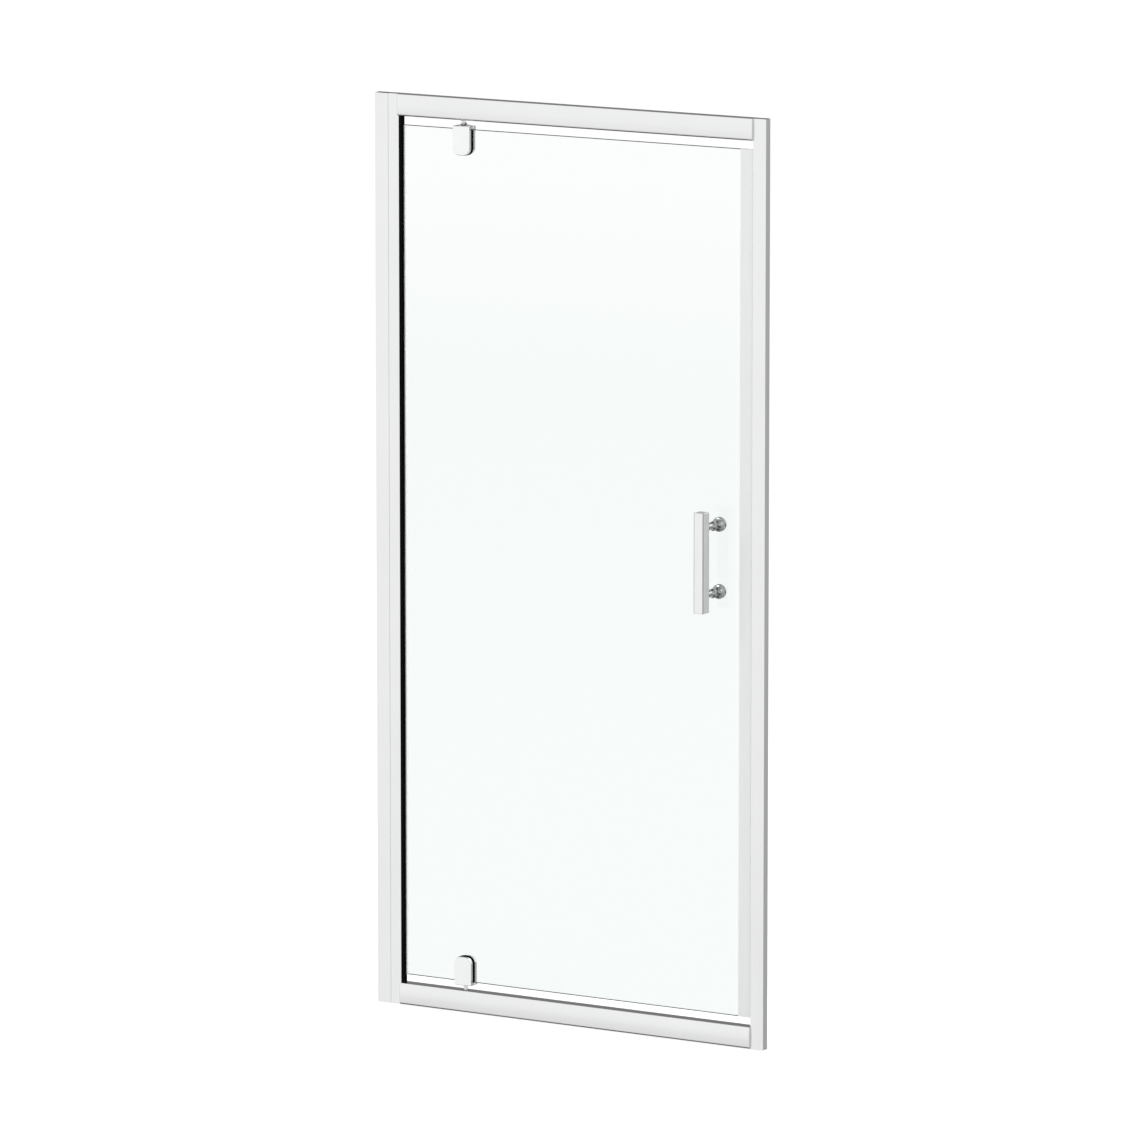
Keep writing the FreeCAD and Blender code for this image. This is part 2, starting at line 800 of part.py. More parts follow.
def top_pivot_pin():
    """Turned pin on a flared boss that stands on the top clamp."""
    reach = pin_reach()
    flare_rise = S.boss_height - S.boss_rim
    flare_run = S.boss_radius - S.pin_radius
    flare = (flare_rise * flare_rise + flare_run * flare_run) / (2 * flare_run)
    outline = [
        (0, -S.pin_spigot_length),
        (S.pin_spigot_radius, -S.pin_spigot_length),
        (S.pin_spigot_radius, 0),
        (S.boss_radius, 0),
        (S.boss_radius, S.boss_rim),
        Bulge(flare, inward=True),
        (S.pin_radius, S.boss_height),
        (S.pin_radius, reach),
        (0, reach),
    ]
    node("top_pivot_pin", turning("top_pivot_pin", "XZ_Plane", outline, x=pivot_x,
                                  z=glass_top_z + S.clamp_reach))


def bottom_pivot_pin():
    """Turned pin with a small collar under the bottom clamp; it carries the leaf."""
    reach = pin_reach()
    outline = [
        (0, -reach),
        (S.pin_radius, -reach),
        (S.pin_radius, -S.collar_height),
        (S.collar_radius, -S.collar_height),
        (S.collar_radius, 0),
        (S.pin_spigot_radius, 0),
        (S.pin_spigot_radius, S.pin_spigot_length),
        (0, S.pin_spigot_length),
    ]
    node("bottom_pivot_pin", turning("bottom_pivot_pin", "XZ_Plane", outline, x=pivot_x,
                                     z=glass_bottom_z - S.clamp_reach))


# ---------------------------------------------------------------- leaf

def clamp_screw_levels(edge_z, outwards):
    """Levels of a clamp's two screws, counted from its end beyond the glass."""
    end_z = edge_z + outwards * S.clamp_reach
    return [end_z - outwards * (S.clamp_screw_first + i * S.clamp_screw_pitch) for i in range(2)]


def clamp_outline(edge_z, outwards, reach, lip):
    """Clamp face: square at the end beyond the glass, rounded where it lies on the glass."""
    half = S.clamp_width / 2 + lip
    end_z = edge_z + outwards * reach
    far_z = edge_z + outwards * (S.clamp_reach - S.clamp_height - lip)
    corner = S.clamp_corner + lip
    return [
        (pivot_x - half, end_z),
        (pivot_x - half, far_z, corner),
        (pivot_x + half, far_z, corner),
        (pivot_x + half, end_z),
    ]


def glass_panel():
    """Toughened glass with eased edges, two notches for the clamps' hubs, and its holes."""
    outline = rectangle(glass_left_x, glass_bottom_z, glass_right_x, glass_top_z)
    sheet = extrusion("glass_sheet", "XZ_Plane", [outline], S.glass_thickness, y=glass_front_y)
    dress(sheet, "Chamfer", S.glass_arris,
          lambda point: near(point.y, 0) or near(point.y, S.glass_thickness))
    tools = []
    hole_radius = S.clamp_screw_radius + S.notch_clearance
    notch_radius = S.hub_width / 2 + S.notch_clearance
    notch_depth = S.hub_depth + S.notch_clearance
    for side, edge_z, outwards in (("top", glass_top_z, 1), ("bottom", glass_bottom_z, -1)):
        levels = [edge_z - outwards * (notch_depth - notch_radius), edge_z]
        low_z, high_z = levels if outwards > 0 else reversed(levels)
        tools.append(block(f"notch_{side}", (pivot_x - notch_radius, glass_front_y, low_z),
                           (pivot_x + notch_radius, glass_back_y, high_z)))
        tools.append(rod(f"notch_end_{side}", "Y", notch_radius, S.glass_thickness, pivot_x, glass_front_y,
                         levels[0]))
        tools += [
            rod(f"glass_hole_{side}_{i}", "Y", hole_radius, S.glass_thickness, pivot_x, glass_front_y, z)
            for i, z in enumerate(clamp_screw_levels(edge_z, outwards))
        ]
    tools += [
        rod(f"handle_hole_{i}", "Y", S.stud_radius + S.notch_clearance, S.glass_thickness, handle_x,
            glass_front_y, z)
        for i, z in enumerate(handle_stem_z)
    ]
    node("glass_panel", cut("glass_panel", sheet, tools))


def hinge_edge_seal():
    """Clear channel round the glass's hinge edge, and the black fin that reaches for the post's gasket."""
    outer_y = S.glass_thickness / 2 + S.seal_wall
    inner_y = S.glass_thickness / 2
    back_x = glass_left_x - S.seal_wall
    leg_x = glass_left_x + S.hinge_seal_leg
    channel = [
        (back_x, -outer_y),
        (leg_x, -outer_y),
        (leg_x, -inner_y),
        (glass_left_x, -inner_y),
        (glass_left_x, inner_y),
        (leg_x, inner_y),
        (leg_x, outer_y),
        (back_x, outer_y),
    ]
    tip_x = hinge_face_x + S.gasket_thickness + S.leaf_clearance
    fin = [
        (tip_x, -S.seal_wall / 2),
        (back_x, -S.seal_wall),
        (back_x, S.seal_wall),
        (tip_x, S.seal_wall / 2),
    ]
    for label, outline in (("hinge_edge_seal", channel), ("hinge_edge_fin", fin)):
        node(label, extrusion(label, "XY_Plane", [outline], glass_height, z=glass_bottom_z))


def closing_edge_seal():
    """Translucent profile on the closing edge, with an air chamber and the chamber of its magnet."""
    wall = S.closing_seal_wall
    inner_y = S.glass_thickness / 2
    outer_y = inner_y + wall
    leg_x = glass_right_x - S.closing_seal_leg
    end_x = strike_mouth_x - S.leaf_clearance
    magnet_x = end_x - wall - S.magnet_thickness
    half = S.magnet_width / 2 - wall - S.leaf_clearance
    outline = [
        (leg_x, -outer_y),
        (end_x, -outer_y, wall / 2),
        (end_x, outer_y, wall / 2),
        (leg_x, outer_y),
        (leg_x, inner_y),
        (glass_right_x, inner_y),
        (glass_right_x, -inner_y),
        (leg_x, -inner_y),
    ]
    air = rectangle(glass_right_x + wall, -half, magnet_x - wall, half)
    magnet = rectangle(magnet_x, -half, end_x - wall, half)
    node("closing_edge_seal", extrusion("closing_edge_seal", "XY_Plane", [outline, air, magnet],
                                        glass_height, z=glass_bottom_z))
    node("closing_magnet", extrusion("closing_magnet", "XY_Plane", [magnet], glass_height, z=glass_bottom_z))


def clamp_plate(label, edge_z, outwards, low_y, outer_local_y):
    """One plate of a clamp, chamfered round its outer face."""
    outline = clamp_outline(edge_z, outwards, S.clamp_reach, 0)
    body = extrusion(label, "XZ_Plane", [outline], S.clamp_plate, y=low_y)
    return dress(body, "Chamfer", S.clamp_chamfer, lambda point: near(point.y, outer_local_y))


def clamp(side, edge_z, outwards):
    """Two plates that grip the glass, with a bridge and a hub on the back one, proud gaskets and screws."""
    gap = S.glass_thickness / 2 + S.clamp_gasket
    outer = gap + S.clamp_plate
    levels = clamp_screw_levels(edge_z, outwards)
    front = clamp_plate(f"{side}_front_blank", edge_z, outwards, -outer, 0)
    blind = S.clamp_plate - S.clamp_screw_cover
    blind_holes = [
        rod(f"{side}_blind_{i}", "Y", S.clamp_screw_radius, blind, pivot_x, -gap - blind, z)
        for i, z in enumerate(levels)
    ]
    node(f"{side}_clamp_front_plate", cut(f"{side}_clamp_front_plate", front, blind_holes))

    end_z = edge_z + outwards * S.clamp_reach
    hub_radius = S.hub_width / 2
    hub_z = edge_z - outwards * (S.hub_depth - hub_radius)
    low_z, high_z = (edge_z, end_z) if outwards > 0 else (end_z, edge_z)
    hub_low_z, hub_high_z = (hub_z, end_z) if outwards > 0 else (end_z, hub_z)
    half = S.clamp_width / 2 - S.clamp_chamfer
    inner = S.glass_thickness / 2
    bridge = block(f"{side}_bridge", (pivot_x - half, -gap, low_z), (pivot_x + half, gap, high_z))
    hub = block(f"{side}_hub", (pivot_x - hub_radius, -inner, hub_low_z),
                (pivot_x + hub_radius, inner, hub_high_z))
    hub_end = rod(f"{side}_hub_end", "Y", hub_radius, S.glass_thickness, pivot_x, -inner, hub_z)
    back = clamp_plate(f"{side}_back_blank", edge_z, outwards, gap, S.clamp_plate)
    spigot_low = end_z - S.pin_spigot_length if outwards > 0 else end_z
    tools = [rod(f"{side}_spigot_hole", "Z", S.pin_spigot_radius, S.pin_spigot_length, pivot_x, 0, spigot_low)]
    screws = []
    head = 2 * S.clamp_screw_radius
    sink_y = outer - S.clamp_screw_radius
    for i, z in enumerate(levels):
        tools.append(rod(f"{side}_screw_hole_{i}", "Y", S.clamp_screw_radius, S.clamp_plate, pivot_x, gap, z))
        tools.append(taper(f"{side}_sink_{i}", "Y", S.clamp_screw_radius, head, S.clamp_screw_radius,
                           pivot_x, sink_y, z))
        shank = rod(f"{side}_clamp_shank_{i}", "Y", S.clamp_screw_radius, sink_y + gap + blind, pivot_x,
                    -gap - blind, z)
        cone = taper(f"{side}_clamp_head_{i}", "Y", S.clamp_screw_radius, head, S.clamp_screw_radius,
                     pivot_x, sink_y, z)
        screws.append(join(f"{side}_clamp_screw_{i}", [shank, cone]))
    whole = join(f"{side}_back_whole", [back, bridge, hub, hub_end])
    node(f"{side}_clamp_back_plate", cut(f"{side}_clamp_back_plate", whole, tools))
    node(f"{side}_clamp_screws", group(f"{side}_clamp_screws", screws))

    pads = []
    for i, low_y in enumerate((-gap, inner)):
        outline = clamp_outline(edge_z, outwards, 0, S.clamp_gasket_lip)
        pad = extrusion(f"{side}_pad_{i}", "XZ_Plane", [outline], S.clamp_gasket, y=low_y)
        holes = [
            rod(f"{side}_pad_hole_{i}_{j}", "Y", S.clamp_screw_radius, S.clamp_gasket, pivot_x, low_y, z)
            for j, z in enumerate(levels)
        ]
        pads.append(cut(f"{side}_clamp_gasket_{i}", pad, holes))
    node(f"{side}_clamp_gaskets", group(f"{side}_clamp_gaskets", pads))


# ---------------------------------------------------------------- handle

stem_base_y = glass_front_y - S.handle_washer
knob_base_y = glass_back_y + S.handle_washer
bar_front_y = glass_front_y - S.handle_reach
bar_back_y = bar_front_y + S.handle_bar_depth


def handle_bar():
    """Upright square bar with eased corners, holed at the back for its two stems."""
    half = S.handle_bar_width / 2
    corner = S.handle_bar_corner
    outline = [
        (-half, 0, corner),
        (half, 0, corner),
        (half, S.handle_bar_depth, corner),
        (-half, S.handle_bar_depth, corner),
    ]
    bar = extrusion("handle_bar_blank", "XY_Plane", [outline], S.handle_bar_length, handle_x, bar_front_y,
                    S.handle_height - S.handle_bar_length / 2)
    dress(bar, "Chamfer", S.handle_bar_chamfer,
          lambda point: near(point.z, 0) or near(point.z, S.handle_bar_length))
    holes = [
        rod(f"bar_hole_{i}", "Y", S.stem_spigot_radius, S.stem_spigot_length, handle_x,
            bar_back_y - S.stem_spigot_length, z)
        for i, z in enumerate(handle_stem_z)
    ]
    node("handle_bar", cut("handle_bar", bar, holes))


def stem_outline():
    """Half section of a stem: spigot in the bar, slim neck, and a flare to its rim on the glass."""
    neck = stem_base_y - bar_back_y
    run = S.stem_base_radius - S.stem_radius
    flare = (S.stem_flare * S.stem_flare + run * run) / (2 * run)
    return [
        (0, -neck - S.stem_spigot_length),
        (S.stem_spigot_radius, -neck - S.stem_spigot_length),
        (S.stem_spigot_radius, -neck),
        (S.stem_radius, -neck),
        (S.stem_radius, -S.stem_rim - S.stem_flare),
        Bulge(flare, inward=True),
        (S.stem_base_radius, -S.stem_rim),
        (S.stem_base_radius, 0),
        (S.stud_radius, 0),
        (S.stud_radius, -S.stud_depth),
        (0, -S.stud_depth),
    ]


def knob_outline():
    """Half section of an inner knob: foot on the glass, neck, a flare to the wide rim and a crowned end."""
    neck_end = S.knob_neck + S.stem_rim
    rim_start = S.knob_length - S.knob_edge - S.knob_rim
    rim_end = S.knob_length - S.knob_edge
    run = S.knob_radius - S.stem_radius
    rise = rim_start - neck_end
    flare = (rise * rise + run * run) / (2 * run)
    crown = (S.knob_radius * S.knob_radius + S.knob_edge * S.knob_edge) / (2 * S.knob_edge)
    return [
        (S.stud_radius, 0),
        (S.knob_base_radius, 0),
        (S.knob_base_radius, S.stem_rim),
        (S.stem_radius, S.stem_rim),
        (S.stem_radius, neck_end),
        Bulge(flare, inward=True),
        (S.knob_radius, rim_start),
        (S.knob_radius, rim_end),
        Bulge(crown),
        (0, S.knob_length),
        (0, S.stud_depth),
        (S.stud_radius, S.stud_depth),
    ]


def handle_fittings():
    """Stems outside, knobs inside, the studs that pull them together and the washers on the glass."""
    stems = []
    knobs = []
    studs = []
    washers = []
    for i, z in enumerate(handle_stem_z):
        stems.append(turning(f"handle_stem_{i}", "XY_Plane", stem_outline(), handle_x, stem_base_y, z))
        knobs.append(turning(f"handle_knob_{i}", "XY_Plane", knob_outline(), handle_x, knob_base_y, z))
        reach = stem_base_y - S.stud_depth
        studs.append(rod(f"handle_stud_{i}", "Y", S.stud_radius, knob_base_y + S.stud_depth - reach, handle_x,
                         reach, z))
        ring = rectangle(S.stud_radius, 0, S.knob_base_radius, S.handle_washer)
        for j, y in enumerate((stem_base_y, glass_back_y)):
            washers.append(turning(f"handle_washer_{i}_{j}", "XY_Plane", ring, handle_x, y, z))
    node("handle_stems", group("handle_stems", stems))
    node("handle_knobs", group("handle_knobs", knobs))
    node("handle_studs", group("handle_studs", studs))
    node("handle_washers", group("handle_washers", washers))


# ---------------------------------------------------------------- assembly

def build_frame():
    wall_channel("wall_channel_hinge_side", hinge_wall_x, hinge_mouth_x, 1, False, WALL_HOLES)
    wall_channel("wall_channel_strike_side", strike_wall_x, strike_mouth_x, -1, True, 0)
    hinge_post()
    hinge_post_gasket()
    strike_post()
    channel_fasteners("hinge_side", hinge_mouth_x - S.channel_screw_inset)
    channel_fasteners("strike_side", strike_mouth_x + S.channel_screw_inset)
    screws = []
    for side, bottom_z, leaf_side in (("bottom", as_size(0), 1), ("top", top_rail_z, -1)):
        rail(f"{side}_rail", bottom_z, leaf_side)
        rail_end_caps(f"{side}_rail_end_caps", bottom_z)
        screws += pivot_block(f"{side}_pivot_block", bottom_z, leaf_side)
    node("pivot_block_screws", group("pivot_block_screws", screws))
    pivot_bush("bottom_pivot_bush", S.rail_height, -1, True)
    pivot_bush("top_pivot_bush", top_rail_z, 1, False)
    rail_screws("rail_screws_hinge_side", hinge_face_x - S.post_wall, hinge_face_x, 1)
    strike_screw_x = strike_mouth_x + S.magnet_thickness + S.post_wall
    rail_screws("rail_screws_strike_side", strike_screw_x, strike_mouth_x, -1)


def build_leaf():
    glass_panel()
    hinge_edge_seal()
    closing_edge_seal()
    clamp("top", glass_top_z, 1)
    clamp("bottom", glass_bottom_z, -1)
    top_pivot_pin()
    bottom_pivot_pin()
    handle_bar()
    handle_fittings()


def check_and_write():
    doc.recompute()
    for item in doc.Objects:
        if "Invalid" in item.State or "Error" in item.State:
            raise RuntimeError(f"{item.Label} failed: {item.State}")
    for item in nodes:
        if item.Shape.isNull() or not item.Shape.isValid():
            raise RuntimeError(f"{item.Label} has no valid shape")
    os.makedirs("parts", exist_ok=True)
    for item in nodes:
        item.Shape.exportStep(f"parts/{item.Label}.step")
    print(len(nodes), "nodes,", sum(len(item.Shape.Solids) for item in nodes), "solids")


build_frame()
build_leaf()
check_and_write()
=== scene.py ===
"""Looks of the pivot shower door: finishes, studio and camera round the fixed frame.

Everything is in metres, in the door's own frame: -Y is the outside and +Z is up.
"""
import math

import bmesh
import bpy
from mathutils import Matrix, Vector


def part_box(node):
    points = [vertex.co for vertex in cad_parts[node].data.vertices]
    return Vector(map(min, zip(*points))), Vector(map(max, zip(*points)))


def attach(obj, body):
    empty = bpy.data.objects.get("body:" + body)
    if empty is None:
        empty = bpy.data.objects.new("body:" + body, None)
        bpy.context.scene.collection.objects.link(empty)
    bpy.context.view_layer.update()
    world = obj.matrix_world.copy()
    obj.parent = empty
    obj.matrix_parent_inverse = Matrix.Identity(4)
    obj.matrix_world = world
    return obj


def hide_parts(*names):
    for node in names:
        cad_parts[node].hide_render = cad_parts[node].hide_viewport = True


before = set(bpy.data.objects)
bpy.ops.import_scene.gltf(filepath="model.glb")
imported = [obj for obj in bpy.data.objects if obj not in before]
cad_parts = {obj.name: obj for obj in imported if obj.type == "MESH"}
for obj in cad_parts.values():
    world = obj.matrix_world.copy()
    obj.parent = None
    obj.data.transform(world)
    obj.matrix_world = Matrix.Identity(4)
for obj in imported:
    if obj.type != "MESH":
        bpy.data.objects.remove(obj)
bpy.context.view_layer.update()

# Camera: where it looks, from which side and how far away, its lens and sensor in millimetres, and its reach.
CAMERA_TARGET = Vector((0.006, 0.0, 0.918))
CAMERA_AZIMUTH = math.radians(31.18)
CAMERA_ELEVATION = math.radians(9.50)
CAMERA_DISTANCE = 18.35
CAMERA_LENS = 290.7
SENSOR_WIDTH = 36.0
CAMERA_REACH = 200

# Light levels, as the radiance that a camera, a mirror or a matt surface sees.
WHITE = 1.0
AMBIENT = 0.72
FLOOR_GLOW = 0.44
GLOW_BEHIND_GLASS = 0.93

# Lamps: where each one stands, and its power in watts.
LAMPS = {
    "key": ((-3.5, -4.5, 5.5), 110),
    "fill": ((4.5, -3.5, 3.5), 45),
    "back": ((1.0, 4.5, 4.0), 35),
}
LAMP_SIZE = 3.0

# What metal reflects by height: the sine of a ray's elevation, and the level there.
SKY_LEVELS = [
    (-1.0, 0.55),
    (-0.7, 0.6),
    (-0.42, 0.72),
    (-0.165, 0.98),
    (0.15, 1.0),
    (0.45, 0.8),
    (0.7, 0.6),
    (1.0, 0.6),
]
# Dark screens that only metal reflects: the direction of each, the cosines of the angles from that direction
# at which it starts and is full, and its level.
SCREENS = {
    "beside the wall channels": ((0.511, 0.844, -0.165), 0.965, 0.985, 0.42),
    "over the rails' tops": ((-0.511, 0.844, 0.165), 0.93, 0.98, 0.20),
    "under the rails' lower edges": ((-0.504, 0.10, -0.86), 0.80, 0.91, 0.12),
    "low beside the knobs": ((0.588, 0.369, -0.699), 0.88, 0.95, 0.04),
    "high behind the knobs": ((-0.30, 0.50, 0.81), 0.87, 0.95, 0.12),
}

# The floor lies just under the door, so that the two don't share a plane.
FLOOR_SIZE = 60
FLOOR_DROP = 0.0005
FLOOR_COLOR = (0.80, 0.80, 0.80, 1)
FLOOR_COLOR_BEHIND_GLASS = (0.08, 0.08, 0.08, 1)

# Colours: the two between which a finish varies, and that of the glass's ground edges.
ALUMINIUM = ((0.865, 0.868, 0.87), (0.885, 0.888, 0.89))
STAINLESS = ((0.60, 0.60, 0.61), (0.70, 0.70, 0.71))
# The handle's second colour is painted shade along the bar's upright corners.
HANDLE_FACE_AND_CORNER_SHADE = ((0.90, 0.90, 0.905), (0.42, 0.42, 0.43))
# The glass's lower colour is painted shade: darker and greener towards the floor.
GLASS_SHADED_LOW_AND_HIGH = ((0.93, 0.966, 0.957), (0.985, 1.0, 0.99))
BLACK_RUBBER = ((0.001, 0.001, 0.001), (0.002, 0.002, 0.002))
GROUND_GLASS = (0.11, 0.13, 0.12, 1)

# Most noise lies within this range, which a finish maps to its own colours and roughness.
NOISE_RANGE = (0.3, 0.7)

# Widths of the glass's ground edges and of the handle's corners of painted shade.
GROUND_EDGE = 0.0016
HANDLE_CORNER_SHADE_WIDTH = 0.0024
# The heights over which the glass's painted shade, darker and greener low down, fades out upwards.
GLASS_SHADE_HEIGHTS = (1.30, 1.72)

# Screws with countersunk heads, in millimetres from the face they sit in: each ring's shape, size and depth.
# The recess comes first, from its floor to its rim, then the head's face, its cone, the shank and the tip.
CLAMP_SCREW = [
    ("round", 0.05, 2.7),
    ("hex", 2.0, 2.2),
    ("hex", 2.0, 0.15),
    ("hex", 2.15, 0.0),
    ("round", 4.7, 0.0),
    ("round", 4.95, 0.15),
    ("round", 2.5, 2.5),
    ("round", 2.5, 21.9),
    ("round", 2.1, 22.35),
]
BLOCK_SCREW = [
    ("round", 0.05, 1.5),
    ("cross", 0.9, 1.2),
    ("cross", 1.9, 0.1),
    ("cross", 2.0, 0.0),
    ("round", 3.4, 0.0),
    ("round", 3.55, 0.1),
    ("round", 1.75, 1.6),
    ("round", 1.75, 9.4),
    ("round", 0.6, 9.95),
]
# Half the width of a cross's arm, as a share of the arm's length.
CROSS_WIDTH = 0.28
# The gap in millimetres round a detailed head, inside the plain screws' box.
HEAD_CLEARANCE = 0.05
RING_POINTS = 24
# Edges that bend by this much or more are sharp.
SHARP_BEND = math.radians(32)
MILLIMETRES_PER_METRE = 1000


# ---------------------------------------------------------------- shader helpers

def new_material(name, **sockets):
    """A material whose Principled shader has these constant values, and its node tree and shader."""
    material = bpy.data.materials.new(name)
    material.use_nodes = True
    tree = material.node_tree
    shader = tree.nodes["Principled BSDF"]
    for socket, value in sockets.items():
        shader.inputs[socket.replace("_", " ")].default_value = value
    return material, tree, shader


def object_place(tree):
    """A point's place on its own object."""
    return tree.nodes.new("ShaderNodeTexCoord").outputs["Object"]


def separate(tree, vector):
    """The X, Y and Z of a vector."""
    parts = tree.nodes.new("ShaderNodeSeparateXYZ")
    tree.links.new(vector, parts.inputs["Vector"])
    return parts.outputs


def grain(tree, scale, stretch=(1, 1, 1), detail=3.0):
    """Noise over the object's own coordinates, drawn out along the axes where stretch is small."""
    scaling = tree.nodes.new("ShaderNodeMapping")
    noise = tree.nodes.new("ShaderNodeTexNoise")
    scaling.inputs["Scale"].default_value = stretch
    noise.inputs["Scale"].default_value = scale
    noise.inputs["Detail"].default_value = detail
    tree.links.new(object_place(tree), scaling.inputs["Vector"])
    tree.links.new(scaling.outputs["Vector"], noise.inputs["Vector"])
    return noise.outputs["Fac"]


def remap(tree, source, old, new, smooth=True):
    """Map the old range of values to the new one, and stay within it."""
    node = tree.nodes.new("ShaderNodeMapRange")
    node.interpolation_type = "SMOOTHSTEP" if smooth else "LINEAR"
    for socket, value in zip(("From Min", "From Max", "To Min", "To Max"), (*old, *new)):
        node.inputs[socket].default_value = value
    tree.links.new(source, node.inputs["Value"])
    return node.outputs["Result"]


def tint(tree, shader, source, colors):
    """Run the base colour from the first of two colours to the second."""
    ramp = tree.nodes.new("ShaderNodeValToRGB")
    for element, position, color in zip(ramp.color_ramp.elements, NOISE_RANGE, colors):
        element.position = position
        element.color = (*color, 1)
    tree.links.new(source, ramp.inputs["Fac"])
    tree.links.new(ramp.outputs["Color"], shader.inputs["Base Color"])


def vary_roughness(tree, shader, source, low, high):
    """Run the roughness from low to high with noise."""
    roughness = remap(tree, source, NOISE_RANGE, (low, high), smooth=False)
    tree.links.new(roughness, shader.inputs["Roughness"])


def bump(tree, shader, source, strength, height=0.0001):
    """Relief of this height in metres."""
    relief = tree.nodes.new("ShaderNodeBump")
    relief.inputs["Strength"].default_value = strength
    relief.inputs["Distance"].default_value = height
    tree.links.new(source, relief.inputs["Height"])
    tree.links.new(relief.outputs["Normal"], shader.inputs["Normal"])


def pick(tree, choice, first, second):
    """A shader that is the second one where the choice is 1, and the first where it is 0."""
    mix = tree.nodes.new("ShaderNodeMixShader")
    tree.links.new(choice, mix.inputs["Fac"])
    tree.links.new(first, mix.inputs[1])
    tree.links.new(second, mix.inputs[2])
    return mix.outputs["Shader"]


def multiply(tree, first, second):
    """The product of two values."""
    node = tree.nodes.new("ShaderNodeMath")
    node.operation = "MULTIPLY"
    tree.links.new(first, node.inputs[0])
    tree.links.new(second, node.inputs[1])
    return node.outputs["Value"]


def from_middle(tree, name):
    """How far a point lies from the middle of a node's box along each axis, and half the box's size."""
    low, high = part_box(name)
    shift = tree.nodes.new("ShaderNodeVectorMath")
    shift.operation = "SUBTRACT"
    shift.inputs[1].default_value = [(start + end) / 2 for start, end in zip(low, high)]
    length = tree.nodes.new("ShaderNodeVectorMath")
    length.operation = "ABSOLUTE"
    tree.links.new(object_place(tree), shift.inputs[0])
    tree.links.new(shift.outputs["Vector"], length.inputs[0])
    return separate(tree, length.outputs["Vector"]), [(end - start) / 2 for start, end in zip(low, high)]


# ---------------------------------------------------------------- finishes

def extruded_aluminium(name, stretch):
    """Bright anodised extrusion, with die lines along the axis where stretch is small."""
    material, tree, shader = new_material(name, Metallic=1.0)
    lines = grain(tree, scale=900, stretch=stretch)
    tint(tree, shader, grain(tree, scale=6), ALUMINIUM)
    vary_roughness(tree, shader, lines, low=0.13, high=0.19)
    bump(tree, shader, lines, strength=0.03)
    return material


def chrome(name, shade, roughness):
    """Bright plate, a little blue, with the faint haze that handling leaves."""
    material, tree, shader = new_material(name, Metallic=1.0)
    haze = grain(tree, scale=35, detail=5.0)
    darker = (shade, shade + 0.005, shade + 0.01)
    paler = [channel + 0.02 for channel in darker]
    tint(tree, shader, haze, (darker, paler))
    vary_roughness(tree, shader, haze, low=0.7 * roughness, high=1.3 * roughness)
    return material


def satin_chrome_corner_shade():
    """The bar's softer plate, with painted shade along its four upright corners."""
    material, tree, shader = new_material("satin_chrome_corner_shade", Metallic=0.6)
    away, half = from_middle(tree, "handle_bar")
    corner_shade_sides = [
        remap(tree, away[axis], (size - HANDLE_CORNER_SHADE_WIDTH, size - 0.6 * HANDLE_CORNER_SHADE_WIDTH), (0, 1))
        for axis, size in zip("XY", half)
    ]
    # Painted shade: the plate darkens along the bar's four upright corners.
    tint(tree, shader, multiply(tree, *corner_shade_sides), HANDLE_FACE_AND_CORNER_SHADE)
    vary_roughness(tree, shader, grain(tree, scale=60, stretch=(1, 1, 0.1)), low=0.16, high=0.24)
    return material


def steel():
    """Turned stainless steel of the screws."""
    material, tree, shader = new_material("stainless_steel", Metallic=1.0)
    marks = grain(tree, scale=2200)
    tint(tree, shader, marks, STAINLESS)
    vary_roughness(tree, shader, marks, low=0.22, high=0.32)
    return material


def safety_glass():
    """Clear toughened glass, darker and greener towards the floor as painted shade, with a haze of dried
    water and ground edges.
    """
    material, tree, shader = new_material("safety_glass", Transmission_Weight=1.0, IOR=1.5)
    height = separate(tree, object_place(tree))["Z"]
    # Painted shade: the glass turns darker and greener towards the floor.
    tint(tree, shader, remap(tree, height, GLASS_SHADE_HEIGHTS, NOISE_RANGE), GLASS_SHADED_LOW_AND_HIGH)
    vary_roughness(tree, shader, grain(tree, scale=4, detail=2.0), low=0.0, high=0.006)

    ground = tree.nodes.new("ShaderNodeBsdfPrincipled")
    ground.inputs["Base Color"].default_value = GROUND_GLASS
    ground.inputs["Roughness"].default_value = 0.5
    away, half = from_middle(tree, "glass_panel")
    edge = remap(tree, away["Z"], (half[2] - GROUND_EDGE, half[2] - 0.5 * GROUND_EDGE), (0, 1))
    shown = pick(tree, edge, shader.outputs["BSDF"], ground.outputs["BSDF"])
    tree.links.new(shown, tree.nodes["Material Output"].inputs["Surface"])
    return material


def vinyl(name, color, roughness, **sockets):
    """Extruded flexible vinyl, clear or milky, with upright die lines."""
    material, tree, shader = new_material(name, **sockets)
    lines = grain(tree, scale=700, stretch=(1, 1, 0.01))
    tint(tree, shader, lines, ([0.97 * channel for channel in color], color))
    vary_roughness(tree, shader, lines, low=0.85 * roughness, high=1.15 * roughness)
    return material


def rubber():
    """Black seal rubber, matt with a fine skin."""
    material, tree, shader = new_material("seal_rubber", Specular_IOR_Level=0.04)
    skin = grain(tree, scale=1500, stretch=(1, 1, 0.2))
    tint(tree, shader, skin, BLACK_RUBBER)
    vary_roughness(tree, shader, skin, low=0.5, high=0.65)
    bump(tree, shader, skin, strength=0.15)
    return material


def moulded_plastic(name, color):
    """Moulded plastic, fairly matt with a fine skin."""
    material, tree, shader = new_material(name)
    skin = grain(tree, scale=1800)
    tint(tree, shader, skin, ([0.94 * channel for channel in color], color))
    vary_roughness(tree, shader, skin, low=0.35, high=0.5)
    bump(tree, shader, skin, strength=0.1)
    return material


# ---------------------------------------------------------------- screws with their drive recesses

def cross_ring(size):
    """Points round a cross with arms of this length, six to an arm, which makes RING_POINTS in all."""
    width = CROSS_WIDTH * size
    middle = (size + width) / 2
    arm = [(size, 0), (size, width), (middle, width), (width, width), (width, middle), (width, size)]
    points = []
    for _ in range(4):
        points += arm
        arm = [(-up, across) for across, up in arm]
    return points


